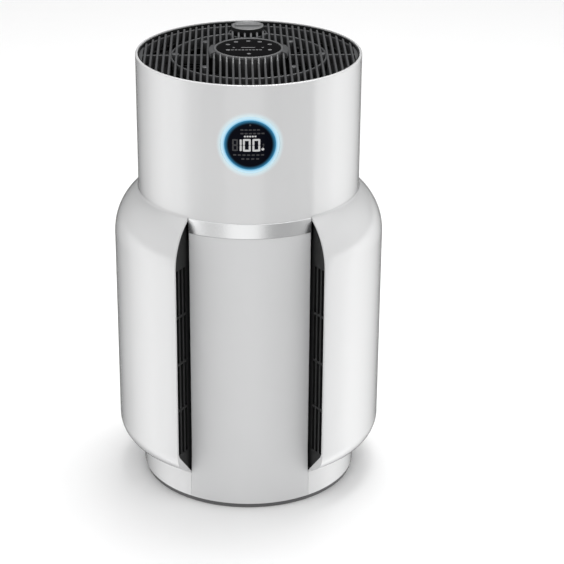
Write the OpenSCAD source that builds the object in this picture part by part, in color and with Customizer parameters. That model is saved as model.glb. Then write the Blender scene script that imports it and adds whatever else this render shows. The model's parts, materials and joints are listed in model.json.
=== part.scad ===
// Free-standing tower air purifier. Air enters through the four slots beside the front and rear
// columns, passes dust screens and a cylindrical filter, and a fan blows it out through the top.
// Millimetres. Z is up, the front faces -Y, the origin is the middle of the footprint on the floor.

/* [Body] */
// Height of the rim of the upper shell above the floor
body_h = 528; // [524:1:560]
// Outer radius of the upper shell, the column panels and the base
core_r = 130; // [129.5:0.1:131]
// Wall thickness of the white shells
wall = 2.7; // [2.4:0.1:2.8]
// Width of the front and rear columns, as an angle about Z
column_angle = 65; // [62:1:67]
// Height of the grey foot ring
foot_h = 6; // [5:0.5:6]

/* [Side covers] */
// Outer radius of the side covers
cover_r = 159; // [150:1:165]
// Wall thickness of the side covers
cover_wall = 2.5; // [2:0.1:3]
// Radius of the rounded shoulder at the top of a cover
shoulder_r = 68; // [60:1:72]
// Height at which the shoulder starts to curve in
shoulder_z = 310.5; // [306:0.5:314]
// Radius of the rounded lower corner of a cover
corner_r = 26; // [20:1:30]
// Height at which the lower corner starts to curve in
corner_z = 71; // [68:1:76]
// Slope of the underside of a cover
underside_angle = 35; // [30:1:38]

/* [Accent band] */
// Lower and upper edges of the aluminium band above the front panel
band_z = [348.6, 365.9];
// How far the band stands proud of the shell
band_proud = 0.6; // [0.3:0.1:1]

/* [Outlet grille] */
// Distance from slat to slat
slat_pitch = 7.2; // [6.5:0.1:8]
// Thickness of a slat
slat_w = 2.6; // [2.2:0.1:3]
// Radius of the touch panel in the middle
panel_r = 37; // [35:0.5:38]
// Outer radius of the thin grey ring around the touch panel
hub_r = 40; // [39.5:0.5:41]

/* [Display] */
// Height of the middle of the display
display_z = 460; // [456:1:462]
// Radius of the display lens
lens_r = 28.5; // [26:0.5:29]
// Width of the light ring around the lens
light_w = 4.2; // [3:0.1:4.2]

/* [Fan and filter] */
// Outer radius of the impeller
impeller_r = 88; // [80:1:90]
// Number of impeller blades
blade_count = 11; // [7:1:13]
// Outer radius of the filter pleats
filter_r = 94; // [90:1:95]
// Number of filter pleats
pleat_count = 72; // [48:6:96]

/* [Odour control] */
// Distance of the odour dial behind the middle
dial_y = 91; // [88:1:91]
// Radius of the odour dial
dial_r = 19; // [17:0.5:19.5]

/* [Hidden] */
$fn = 96;
eps = 0.01;

// Gaps: between neighbours that are fixed together, and between bodies that move apart
fit_gap = 0.1;
move_gap = 0.3;

// Shell radii
core_ri = core_r - wall;
seam_angle = 0.2;
half_column = column_angle / 2;
half_side = 90 - half_column;

// Base
floor_t = 2.5;
base_floor_z = foot_h;
base_deck_z = 36;
base_top_z = base_deck_z + floor_t;
collar_r = 104;
collar_t = 2.5;
base_screw_r = 116;
ledge_z = 9;
ledge_h = 2.4;
lug_count = 3;
lug_angle = 18;

// Filter door
door_r = 103;
door_z = 2.5;
door_t = 4;
door_skirt_r = 100.3;
lug_h = 2.2;

// Inner frame, from the base deck to the fan deck
frame_z0 = base_top_z + fit_gap;
frame_z1 = 341;
window_z = [70, 310];
window_rows = 6;
window_cols = 7;
window_half_angle = 50;
rib_w = 3;
web_angle = half_side + 1.3;
web_t = 2.4;

// Side cover
cover_ri = core_r + move_gap;
grille_inset = 0.3;
grille_angle = 1.4;
grille_back = 0.9;
grille_inner_r = 124;
grille_slits = 3;
grille_rows = 4;
grille_bar = 3;
screen_r = 120;
screen_t = 3.5;
screen_half_angle = 52;
screen_z = [52, 326];
screen_rows = 5;
screen_cols = 4;
screen_edge = 5;
screen_bar = 2;
magnet_r = 4;
magnet_t = 3;
magnet_gap = 0.5;
strike_t = 1.4;
magnet_az = 49.5;
magnet_z = [62, 318];

// Upper shell
rim_r = 2.4;
shell_split_z = band_z[1] + 0.5;
ledge_top_z = body_h - 17;
ledge_w = 3;

// Fan section
duct_ri = 98.5;
duct_t = 2.5;
duct_z0 = frame_z1 + fit_gap;
cone_z0 = body_h - 41;
cone_z1 = body_h - 22;
cone_r = 121.5;
bell_r = 66;
impeller_z0 = 350;
impeller_h = 46;
plate_t = 2.5;
blade_t = 1.8;
eye_r = 60;
shaft_r = 4;
running_gap = 0.03;
motor_r = 38;
motor_z0 = 404;
motor_h = 30;
bearing_r = 11;
bearing_h = 7;
damper_t = 1.8;
mount_z = motor_z0 + motor_h + 2;
mount_t = 3;
motor_screw_r = 26;
vane_z = [452, ledge_top_z];
vane_start = 10;
vane_count = 12;
mount_arms = 6;

// Filter stack
filter_z0 = 20;
filter_z1 = 329;
filter_cap_t = 6;
filter_bore_r = 62;

// Outlet grille
grille_r = core_ri - 0.7;
grille_z0 = ledge_top_z + 0.2;
slat_z0 = grille_z0 + 2;
slat_top = body_h - 2;
hub_top = body_h + 4.5;
boss_r = 4.4;
rib_ring_r = 89;
cheek_r = 46.5;
cheek_angle = 21;
side_boss_r = 84;
corner_boss_r = 70;
// Screw bosses as [radius, angle]
bosses = [
    [side_boss_r, 0], [side_boss_r, 180],
    [corner_boss_r, 45], [corner_boss_r, 135], [corner_boss_r, -45], [corner_boss_r, -135]
];

// Odour pod
cup_r = 20.6;
cup_t = 1.5;
cup_z0 = body_h - 44;
cartridge_r = cup_r - cup_t - 0.5;
dial_z0 = body_h - 5;
dial_z1 = body_h + 7;
well_r = dial_r + 2;

// Rear features
grip_z = 440;
grip_w = 100;
grip_h = 34;
grip_depth = 20;
grip_wall = 2.5;
inlet_z = 22;
inlet_w = 24;
inlet_h = 15;
socket_w = 16.6;
socket_h = 8.8;
inlet_face_y = core_r - 1.2;
inlet_back_y = 109;
sensor_z = 270;
wire_top_z = 70;

// ---------- shared shapes ----------

// Rectangle from corner to corner
module box2(x0, x1, y0, y1) {
    translate([x0, y0]) square([x1 - x0, y1 - y0]);
}

// Profile turned about Z between two angles from +X
module sector(from, to) {
    rotate([0, 0, from]) rotate_extrude(angle = to - from) children();
}

// Full ring of rectangular section
module ring(r0, r1, z0, z1) {
    rotate_extrude() box2(r0, r1, z0, z1);
}

// Flat washer outline
module washer2(r0, r1) {
    difference() {
        circle(r1);
        circle(r0);
    }
}

// Copies spaced evenly about Z
module around(count, start = 0) {
    for (i = [0:count - 1]) rotate([0, 0, start + i * 360 / count]) children();
}

// Round bar along Y
module bar_y(r, y0, y1, z) {
    translate([0, y0, z]) rotate([-90, 0, 0]) cylinder(r = r, h = y1 - y0);
}

// Rounded rectangle centred on the origin
module rounded2(w, h, r) {
    square([w - 2 * r, h], center = true);
    square([w, h - 2 * r], center = true);
    for (x = [-1, 1], y = [-1, 1]) translate([x * (w / 2 - r), y * (h / 2 - r)]) circle(r);
}

// Rounded bar along Y, w wide and h high
module slot_y(w, h, r, y0, y1, z) {
    translate([0, y1, z]) rotate([90, 0, 0]) linear_extrude(y1 - y0) rounded2(w, h, r);
}

// Screw with a pan head below its shank, pointing up
module screw_up(shank_r, head_r, z0, length, head_h = 2.5) {
    translate([0, 0, z0 - head_h]) cylinder(r = head_r, h = head_h);
    translate([0, 0, z0 - eps]) cylinder(r = shank_r, h = length);
}

// ---------- base ----------

module foot_ring() {
    color("dimgray") rotate_extrude()
        polygon([[110, 0], [core_r - 2.4, 0], [core_r - 1.4, 1], [core_r - 1.4, foot_h], [110, foot_h]]);
}

module base_frame() {
    color("white") difference() {
        union() {
            rotate_extrude() {
                box2(collar_r, core_ri - fit_gap, base_floor_z, base_floor_z + floor_t);
                box2(collar_r, collar_r + collar_t, base_floor_z, base_top_z);
                box2(collar_r, core_ri - fit_gap, base_deck_z, base_top_z);
            }
            for (a = [0, 180])
                sector(a - half_side + seam_angle, a + half_side - seam_angle)
                    box2(core_ri - 0.5, core_r, base_floor_z, base_top_z);
            around(lug_count) sector(-lug_angle / 2, lug_angle / 2)
                box2(door_skirt_r + 0.6, collar_r + eps, ledge_z, ledge_z + ledge_h);
        }
        base_wire_slot();
        around(4, 45) translate([base_screw_r, 0, 0]) {
            cylinder(r = 4, h = 20);
            translate([0, 0, base_deck_z - 1]) cylinder(r = 1.7, h = 5);
        }
    }
}

// Slot that the mains wires pass through
module base_wire_slot() {
    translate([-9, 110, base_deck_z - 1]) cube([18, 8, 8]);
}

// Bayonet door under the filter
module filter_door() {
    lug_z = ledge_z + ledge_h + 0.4;
    color("whitesmoke") {
        difference() {
            translate([0, 0, door_z]) cylinder(r = door_r, h = door_t);
            for (s = [-1, 1]) translate([0, 0, door_z - eps]) linear_extrude(2)
                intersection() {
                    circle(34);
                    translate([-40, s > 0 ? 7 : -47]) square([80, 40]);
                }
        }
        ring(door_skirt_r - 3, door_skirt_r, door_z + door_t - eps, lug_z + lug_h);
        around(lug_count) sector(-lug_angle / 2 + 1, lug_angle / 2 - 1)
            box2(door_skirt_r - 1, collar_r - 0.5, lug_z, lug_z + lug_h - 0.4);
    }
}

// ---------- structure ----------

module inner_frame() {
    row_pitch = (window_z[1] - window_z[0]) / window_rows;
    bar_step = 2 * window_half_angle / window_cols;
    color("#26282a") difference() {
        union() {
            rotate_extrude() {
                box2(collar_r, core_ri - 0.5, frame_z0, frame_z0 + floor_t);
                box2(collar_r, collar_r + collar_t, frame_z0, window_z[0]);
                for (i = [1:window_rows - 1])
                    box2(collar_r, collar_r + collar_t, window_z[0] + i * row_pitch - rib_w / 2,
                        window_z[0] + i * row_pitch + rib_w / 2);
                box2(collar_r, collar_r + collar_t, window_z[1], frame_z1);
                box2(collar_r - 1, core_ri - 0.3, frame_z1 - floor_t, frame_z1);
            }
            translate([0, 0, frame_z0]) linear_extrude(frame_z1 - frame_z0) {
                intersection() {
                    washer2(collar_r, collar_r + collar_t);
                    union() {
                        for (s = [0, 180], i = [0:window_cols])
                            rotate(s - window_half_angle + i * bar_step)
                                translate([90, -rib_w / 2]) square([30, rib_w]);
                        for (s = [-1, 1]) polygon([
                            [0, 0],
                            200 * [cos(window_half_angle), s * sin(window_half_angle)],
                            [0, s * 300],
                            200 * [-cos(window_half_angle), s * sin(window_half_angle)]
                        ]);
                    }
                }
                for (a = [-1, 1], s = [0, 180]) rotate(s + a * web_angle)
                    translate([collar_r + 1, -web_t / 2]) square([core_ri - 0.6 - collar_r - 1, web_t]);
            }
        }
        base_wire_slot();
        around(4, 45) translate([base_screw_r, 0, frame_z0 - 1]) cylinder(r = 1.55, h = 5);
    }
}

module column_panel(z1) {
    color("gainsboro") sector(-half_column + seam_angle, half_column - seam_angle)
        box2(core_ri, core_r, base_floor_z, z1);
}

module front_panel() {
    rotate([0, 0, -90]) column_panel(band_z[0] - 0.5);
}

module rear_panel() {
    color("gainsboro") difference() {
        rotate([0, 0, 90]) column_panel(shell_split_z - 0.5);
        slot_y(inlet_w + 0.2, inlet_h + 0.2, 2, 100, 140, inlet_z);
        for (i = [-3:3]) slot_y(26, 1.8, 0.8, 110, 140, sensor_z + 4.5 * i);
    }
}

module accent_band() {
    color("silver") rotate([0, 0, -90])
        sector(-half_column + 0.7, half_column - 0.7) polygon([
            [core_ri, band_z[0]],
            [core_r + band_proud - 0.4, band_z[0]],
            [core_r + band_proud, band_z[0] + 0.4],
            [core_r + band_proud, band_z[1] - 0.4],
            [core_r + band_proud - 0.4, band_z[1]],
            [core_ri, band_z[1]]
        ]);
}

module upper_shell() {
    skirt_z = frame_z1 + move_gap;
    color("white") difference() {
        rotate_extrude() difference() {
            union() {
                box2(core_ri, core_r, skirt_z, body_h);
                box2(core_ri - ledge_w, core_ri + 1, ledge_top_z - 3, ledge_top_z);
            }
            difference() {
                box2(core_r - rim_r, core_r + 1, body_h - rim_r, body_h + 1);
                translate([core_r - rim_r, body_h - rim_r]) circle(rim_r);
            }
        }
        for (a = [-90, 90]) sector(a - half_column - seam_angle, a + half_column + seam_angle)
            box2(core_ri - 1, core_r + 1, skirt_z - 1, shell_split_z);
        bar_y(lens_r + light_w + 0.3, -150, -100, display_z);
        slot_y(grip_w, grip_h, 8, 100, 150, grip_z);
    }
}

module handle_pocket() {
    back_y = core_ri - 0.2 - grip_depth;
    color("white") intersection() {
        difference() {
            slot_y(grip_w + 2 * grip_wall, grip_h + 2 * grip_wall, 8 + grip_wall,
                back_y - grip_wall, core_r, grip_z);
            slot_y(grip_w, grip_h, 8, back_y, core_r + 1, grip_z);
        }
        translate([0, 0, grip_z - 50]) cylinder(r = core_ri - 0.2, h = 100);
    }
}

// ---------- side covers ----------

// Section of a side cover's outline, moved inwards by inset, between inner_r and its outer face
module cover_section(inset, inner_r) {
    shoulder = [cover_r - shoulder_r, shoulder_z];
    corner = [cover_r - corner_r, corner_z];
    r = corner_r - inset;
    tangent = corner + r * [sin(underside_angle), -cos(underside_angle)];
    low_z = corner_z - 2 * corner_r;
    difference() {
        box2(inner_r, cover_r - inset, low_z + 1, shoulder_z + shoulder_r);
        difference() {
            box2(shoulder[0], cover_r + 1, shoulder_z, shoulder_z + shoulder_r + 1);
            translate(shoulder) circle(shoulder_r - inset);
        }
        difference() {
            polygon([
                [inner_r - 1, tangent[1] - (tangent[0] - inner_r + 1) * tan(underside_angle)],
                tangent, corner, [cover_r + 1, corner_z], [cover_r + 1, low_z], [inner_r - 1, low_z]
            ]);
            translate(corner) circle(r);
        }
    }
}

// Right-hand shell; the left one is its mirror image
module cover_shell() {
    color("white") sector(-half_side, half_side) difference() {
        cover_section(0, cover_ri);
        cover_section(cover_wall, cover_ri - 1);
    }
}

// Dark grille that closes the slot at one end of a cover, with an inner flange for the screen
module slot_grille() {
    far = half_side - grille_back;
    near = far - grille_angle;
    slit_pitch = (cover_r - cover_ri - 7) / grille_slits;
    row_pitch = (shoulder_z - corner_z) / grille_rows;
    color("#26282a") {
        sector(near, far) difference() {
            union() {
                cover_section(cover_wall + grille_inset, cover_ri);
                box2(grille_inner_r, cover_ri + 1, frame_z0 + floor_t + 1, frame_z1 - floor_t - 1);
            }
            for (i = [0:grille_slits - 1], j = [0:grille_rows - 1])
                translate([cover_ri + 3.7 + i * slit_pitch, corner_z + j * row_pitch])
                    square([slit_pitch - grille_bar, row_pitch - grille_bar]);
        }
        sector(screen_half_angle + 0.3, far)
            box2(screen_r, grille_inner_r + 0.2, screen_z[0], screen_z[1]);
    }
}

module screen_frame() {
    a = screen_half_angle;
    col_pitch = 2 * (a - 1) / screen_cols;
    row_pitch = (screen_z[1] - screen_z[0] - 2 * screen_edge + screen_bar) / screen_rows;
    color("#33363a") {
        difference() {
            sector(-a, a) box2(screen_r, screen_r + screen_t, screen_z[0], screen_z[1]);
            for (i = [0:screen_cols - 1])
                sector(2 - a + i * col_pitch, i * col_pitch + col_pitch - a)
                    for (j = [0:screen_rows - 1])
                        box2(screen_r - 1, screen_r + screen_t + 1,
                            screen_z[0] + screen_edge + j * row_pitch,
                            screen_z[0] + screen_edge + (j + 1) * row_pitch - screen_bar);
        }
        for (z = magnet_z, s = [-1, 1]) rotate([0, 0, s * magnet_az]) translate([magnet_r1(), 0, z])
            rotate([0, 90, 0]) cylinder(r = magnet_r + 1, h = screen_r + 1 - magnet_r1());
    }
}

function magnet_r0() = collar_r + collar_t + strike_t + magnet_gap;
function magnet_r1() = magnet_r0() + magnet_t;

module screen_mesh() {
    a = screen_half_angle;
    r = screen_r + screen_t + fit_gap;
    color("gray") sector(-a, a) box2(r, r + 0.8, screen_z[0], screen_z[1]);
}

module cover_magnets() {
    color("silver") for (z = magnet_z, s = [-1, 1]) rotate([0, 0, s * magnet_az])
        translate([magnet_r0(), 0, z]) rotate([0, 90, 0]) cylinder(r = magnet_r, h = magnet_t - fit_gap);
}

module cover_strikes() {
    color("silver") for (z = magnet_z, s = [-1, 1], side = [0, 180])
        rotate([0, 0, side + s * magnet_az]) translate([collar_r + collar_t - 0.1, 0, z])
            rotate([0, 90, 0]) cylinder(r = magnet_r + 1, h = strike_t + 0.1);
}

// The left-hand copy of a right-hand piece
module left() {
    mirror([1, 0, 0]) children();
}

// The front copy of a rear piece
module front() {
    mirror([0, 1, 0]) children();
}

// ---------- filter ----------

module filter_media() {
    n = pleat_count;
    color("ivory") translate([0, 0, filter_z0]) linear_extrude(filter_z1 - filter_z0) difference() {
        polygon([for (i = [0:2 * n - 1])
            (i % 2 == 0 ? filter_r : filter_r - 7) * [cos(i * 180 / n), sin(i * 180 / n)]]);
        circle(filter_bore_r);
    }
}

module filter_top_cap() {
    color("#3a3d40") ring(filter_bore_r - 3, filter_r + 2, filter_z1, filter_z1 + filter_cap_t);
}

module filter_bottom_cap() {
    color("#3a3d40") translate([0, 0, filter_z0 - filter_cap_t])
        cylinder(r = filter_r + 2, h = filter_cap_t);
}

module filter_seal() {
    color("black") ring(70, filter_r, filter_z1 + filter_cap_t, frame_z1 - floor_t - fit_gap);
}

module filter_pull_tab() {
    color("gray") translate([-40, -11, filter_z0 - filter_cap_t - 1.4]) cube([80, 22, 1.4]);
}

module carbon_sleeve() {
    color("#1c1c1c") ring(filter_bore_r - 3, filter_bore_r - 0.2, filter_z0, filter_z1);
}

// ---------- fan ----------

module inlet_bellmouth() {
    z1 = frame_z1;
    color("#3a3d40") rotate_extrude() {
        box2(bell_r + 2, collar_r - 1.3, z1 - floor_t, z1);
        intersection() {
            translate([bell_r + 2, z1 + 8]) washer2(10.5 - floor_t, 10.5);
            box2(bell_r - 12, bell_r + 2 + eps, z1 - floor_t - 1, z1 + 8);
        }
    }
}

module fan_duct() {
    ro = duct_ri + duct_t;
    color("#3a3d40") difference() {
        rotate_extrude() polygon([
            [duct_ri, duct_z0], [112, duct_z0], [112, duct_z0 + duct_t], [ro, duct_z0 + duct_t],
            [ro, cone_z0], [cone_r + duct_t, cone_z1], [cone_r + duct_t, ledge_top_z],
            [cone_r, ledge_top_z], [cone_r, cone_z1 + 1], [duct_ri, cone_z0 + 1]
        ]);
        translate([0, dial_y, cup_z0 - 1]) cylinder(r = cup_r + 0.2, h = 60);
    }
}

module impeller() {
    z1 = impeller_z0 + impeller_h;
    arc_r = 0.625 * impeller_r;
    arc_centre = impeller_r * [0.2, 0.43];
    color("whitesmoke") difference() {
        union() {
            translate([0, 0, z1]) cylinder(r = impeller_r, h = plate_t);
            ring(eye_r - 2, impeller_r, impeller_z0, impeller_z0 + plate_t);
            translate([0, 0, z1 - 18]) cylinder(r = 12, h = 18 + eps);
            around(blade_count) translate([0, 0, impeller_z0 + plate_t - eps])
                linear_extrude(z1 - impeller_z0 - plate_t + 2 * eps) intersection() {
                    washer2(0.66 * impeller_r, impeller_r - 1);
                    translate(arc_centre) washer2(arc_r - blade_t, arc_r);
                    square(impeller_r);
                }
        }
        translate([0, 0, impeller_z0]) cylinder(r = shaft_r, h = impeller_h + 10);
    }
}

module motor_shaft() {
    color("silver") translate([0, 0, impeller_z0 + impeller_h - 25])
        cylinder(r = shaft_r, h = motor_z0 + motor_h - 1 - impeller_z0 - impeller_h + 25);
}

module shaft_clip() {
    z = impeller_z0 + impeller_h - 20.6;
    color("dimgray") difference() {
        ring(shaft_r, shaft_r + 3.5, z, z + 1.2);
        translate([0, -1.5, z - 1]) cube([20, 3, 4]);
    }
}

// Where the four motor screws and dampers sit
module motor_screw_places() {
    around(4, 45) translate([motor_screw_r, 0, 0]) children();
}

module motor() {
    z1 = motor_z0 + motor_h;
    color("gray") difference() {
        translate([0, 0, motor_z0]) cylinder(r = motor_r, h = motor_h);
        translate([0, 0, motor_z0 - 1]) cylinder(r = shaft_r + 1.5, h = motor_h + 2);
        for (z = [motor_z0 - 1, z1 - bearing_h])
            translate([0, 0, z]) cylinder(r = bearing_r, h = bearing_h + 1);
        motor_screw_places() translate([0, 0, z1 - 7]) cylinder(r = 1.65, h = 8);
    }
}

module motor_bearings() {
    color("silver") for (z = [motor_z0, motor_z0 + motor_h - bearing_h])
        ring(shaft_r + running_gap, bearing_r - 0.02, z, z + bearing_h);
}

module motor_dampers() {
    color("black") motor_screw_places() ring(1.9, 5.5, mount_z - damper_t - fit_gap, mount_z - fit_gap);
}

module motor_mount() {
    color("#3a3d40") difference() {
        union() {
            translate([0, 0, mount_z]) cylinder(r = 46, h = mount_t);
            ring(43.5, 46, motor_z0 + 6, mount_z + eps);
            ring(duct_ri - 2.8, duct_ri - 0.3, mount_z - 12, mount_z + 8);
            around(mount_arms, 15) translate([45, -3, mount_z - 6])
                cube([duct_ri - 47, 6, mount_t + 6]);
        }
        motor_screw_places() translate([0, 0, mount_z - 1]) cylinder(r = 1.9, h = mount_t + 2);
        translate([0, 0, mount_z - 1]) cylinder(r = 12, h = mount_t + 2);
    }
}

module guide_vanes() {
    z0 = vane_z[0];
    z1 = vane_z[1];
    color("#3a3d40") difference() {
        union() {
            ring(43.5, 46, z0, z1);
            ring(rib_ring_r - 1.2, rib_ring_r + 1.2, z1 - 8, z1);
            translate([0, 0, z0]) linear_extrude(z1 - 24 - z0) around(vane_count, vane_start)
                translate([45, -0.9]) square([duct_ri - 45.3, 1.8]);
            translate([0, 0, z1 - 24 - eps]) linear_extrude(24) {
                around(vane_count, vane_start) translate([45, -0.9]) square([rib_ring_r - 45, 1.8]);
                for (b = bosses) rotate(b[1]) {
                    translate([b[0], 0]) circle(boss_r);
                    translate([45, -0.9]) square([b[0] - 45, 1.8]);
                }
                for (a = [0, 180]) rotate(a) translate([side_boss_r, -0.9]) square([5, 1.8]);
            }
        }
        for (b = bosses) rotate([0, 0, b[1]]) translate([b[0], 0, z0]) cylinder(r = 1.7, h = z1);
        translate([0, dial_y, cup_z0 - 1]) cylinder(r = cup_r + 0.3, h = 60);
    }
}

// ---------- top ----------

// Plan of the slats, clipped to a washer
module slat_plan(r0, r1) {
    count = ceil(r1 / slat_pitch);
    intersection() {
        washer2(r0, r1);
        for (i = [-count:count - 1]) translate([(i + 0.5) * slat_pitch - slat_w / 2, -r1])
            square([slat_w, 2 * r1]);
    }
}

// Section that the slats are trimmed to: lower at the rim, rising to the hub
module slat_section() {
    polygon([
        [hub_r, slat_z0], [grille_r, slat_z0], [grille_r, slat_top - 1.4],
        [grille_r - 2, slat_top - 0.3], [grille_r - 5, slat_top],
        [cheek_r + 12, slat_top], [cheek_r + 2, slat_top + 1.4], [hub_r, hub_top - 0.8]
    ]);
}

module outlet_grille() {
    color("#55585b") difference() {
        union() {
            intersection() {
                translate([0, 0, slat_z0]) linear_extrude(hub_top - slat_z0)
                    slat_plan(hub_r + fit_gap, grille_r);
                rotate_extrude() slat_section();
            }
            rotate_extrude() {
                box2(grille_r - 2.6, grille_r, grille_z0, slat_top - 1.4);
                box2(rib_ring_r - 1.2, rib_ring_r + 1.2, slat_z0, slat_top - 2);
                polygon([
                    [hub_r - 2, hub_top - 3.5], [hub_r + 1, hub_top - 3.5],
                    [hub_r + 9, grille_z0], [hub_r + 6, grille_z0]
                ]);
            }
            for (a = [0, 180]) sector(a - cheek_angle, a + cheek_angle) polygon([
                [hub_r + fit_gap, hub_top - 5], [hub_r + fit_gap, hub_top - 1],
                [cheek_r - 2, hub_top - 1.6], [cheek_r, hub_top - 3], [cheek_r, hub_top - 8],
                [cheek_r - 3, hub_top - 8]
            ]);
            translate([0, 0, slat_z0]) linear_extrude(slat_top - 2 - slat_z0) difference() {
                translate([-grille_r + 1, -1]) square([2 * grille_r - 2, 2]);
                circle(hub_r + 5);
            }
            for (s = [-1, 1]) translate([0, 0, slat_z0]) linear_extrude(slat_top - 2 - slat_z0)
                intersection() {
                    circle(grille_r);
                    translate([s > 0 ? grille_r - 5 : -grille_r, -60]) square([5, 120]);
                }
            for (b = bosses) rotate([0, 0, b[1]]) translate([b[0], 0, grille_z0])
                cylinder(r = boss_r, h = slat_top - 0.6 - grille_z0);
            translate([0, dial_y, grille_z0]) cylinder(r = well_r + 2.2, h = slat_top - grille_z0);
        }
        translate([0, dial_y, 0]) cylinder(r = well_r, h = body_h + 20);
        for (b = bosses) rotate([0, 0, b[1]]) translate([b[0], 0, 0])
            cylinder(r = 1.55, h = slat_top - 4);
    }
}

module control_hub() {
    z0 = grille_z0 + 2.8;
    seat_z = hub_top - 3;
    color("#6b6e71") rotate_extrude() {
        polygon([
            [panel_r + 0.3, seat_z - 0.3], [hub_r, seat_z - 0.3], [hub_r, hub_top - 0.8],
            [hub_r - 0.8, hub_top], [panel_r + 0.3, hub_top]
        ]);
        box2(panel_r - 1.5, panel_r + 0.6, z0, seat_z);
        box2(0, panel_r + 1, z0, z0 + 2);
    }
}

module control_panel() {
    color("black") translate([0, 0, hub_top - 2.9]) cylinder(r = panel_r, h = 2.6);
}

module control_board() {
    color("darkgreen") translate([0, 0, hub_top - 8.5]) cylinder(r = panel_r - 3, h = 1.6);
}

module odour_cup() {
    color("#3a3d40") translate([0, dial_y, 0]) difference() {
        translate([0, 0, cup_z0]) cylinder(r = cup_r, h = grille_z0 - fit_gap - cup_z0);
        translate([0, 0, cup_z0 + cup_t]) cylinder(r = cup_r - cup_t, h = 60);
        around(3) translate([10, -4, cup_z0 + 7]) cube([20, 8, 14]);
    }
}

module odour_cartridge() {
    z0 = cup_z0 + cup_t;
    color("paleturquoise") translate([0, dial_y, 0]) difference() {
        union() {
            translate([0, 0, z0]) cylinder(r = cartridge_r, h = 24);
            translate([0, 0, z0 + 24 - eps]) cylinder(r = 6, h = dial_z0 - 1 - z0 - 24);
        }
        around(6, 30) translate([11.5, 0, z0 + 3]) cylinder(r = 2.6, h = 30);
    }
}

module odour_dial() {
    color("gray") translate([0, dial_y, 0]) {
        rotate_extrude() polygon([
            [0, dial_z0], [dial_r - 1, dial_z0], [dial_r, dial_z0 + 1], [dial_r, dial_z1 - 3.5],
            [dial_r - 1.5, dial_z1 - 2], [0, dial_z1 - 2]
        ]);
        translate([-dial_r + 4, -2.5, dial_z1 - 2 - eps]) cube([2 * dial_r - 8, 5, 2]);
    }
}

// ---------- display ----------

// Slice of the shell's own curve, so that the lens and light ring lie flush in it
module shell_slice(r0, r1) {
    intersection() {
        translate([0, 0, display_z - 50]) difference() {
            cylinder(r = r1, h = 100);
            translate([0, 0, -1]) cylinder(r = r0, h = 102);
        }
        children();
    }
}

module display_lens() {
    color("black") shell_slice(core_ri - 0.3, core_r + 0.2) bar_y(lens_r, -150, -100, display_z);
}

module display_ring() {
    color("deepskyblue") shell_slice(core_ri + 0.2, core_r + 0.1) difference() {
        bar_y(lens_r + light_w, -150, -100, display_z);
        bar_y(lens_r + fit_gap, -151, -99, display_z);
    }
}

module display_housing() {
    r = lens_r + light_w + 2;
    color("#3a3d40") difference() {
        intersection() {
            bar_y(r, -130, -112, display_z);
            translate([0, 0, display_z - 50]) cylinder(r = core_ri - 0.2, h = 100);
        }
        bar_y(r - 2, -140, -114, display_z);
    }
}

module display_board() {
    color("darkgreen") bar_y(lens_r + light_w - 1, -118, -116.4, display_z);
}

// ---------- electrics ----------

module power_board() {
    color("darkgreen") translate([-34, 110, 62]) cube([68, 1.6, 140]);
    color("dimgray") {
        translate([-26, 111.5, 72]) cube([30, 10, 28]);
        translate([-22, 111.5, 112]) cube([24, 9, 20]);
        for (i = [0:2]) translate([18, 111.5, 78 + 18 * i]) rotate([-90, 0, 0]) cylinder(r = 6, h = 9);
        translate([-28, 111.5, 150]) cube([48, 6, 8]);
    }
}

module particle_sensor() {
    color("#3a3d40") difference() {
        translate([-22, 109, sensor_z - 24]) cube([44, 14, 48]);
        translate([-12, 117, sensor_z - 14]) cube([24, 7, 28]);
    }
}

module power_inlet() {
    color("#26282a") difference() {
        slot_y(inlet_w, inlet_h, 2, inlet_back_y, inlet_face_y, inlet_z);
        slot_y(socket_w, socket_h, 3.5, inlet_face_y - 14, inlet_face_y + 1, inlet_z);
        for (s = [-1, 1]) translate([s * 4.3, 0, 0]) bar_y(1.2, inlet_back_y - 1, inlet_face_y, inlet_z);
    }
}

module inlet_pins() {
    color("gold") for (s = [-1, 1])
        translate([s * 4.3, 0, 0]) bar_y(1.2, inlet_back_y + 0.5, inlet_face_y - 4, inlet_z);
}

module mains_wires() {
    color("black") for (s = [-1, 1]) translate([s * 4.3, 114, inlet_z + inlet_h / 2 + fit_gap])
        cylinder(r = 1.4, h = wire_top_z - inlet_z - inlet_h / 2 - fit_gap);
}

// ---------- fasteners ----------

module grille_screws() {
    color("silver") for (b = bosses) rotate([0, 0, b[1]]) translate([b[0], 0, 0])
        screw_up(1.5, 3.2, vane_z[1] - 24, 34);
}

module base_screws() {
    color("silver") around(4, 45) translate([base_screw_r, 0, 0]) screw_up(1.5, 3, base_deck_z, 5);
}

module motor_screws() {
    color("silver") motor_screw_places() {
        translate([0, 0, mount_z + mount_t]) cylinder(r = 3.2, h = 2.4);
        translate([0, 0, mount_z - 8]) cylinder(r = 1.6, h = mount_t + 8 + eps);
    }
}

// ---------- output ----------

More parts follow.
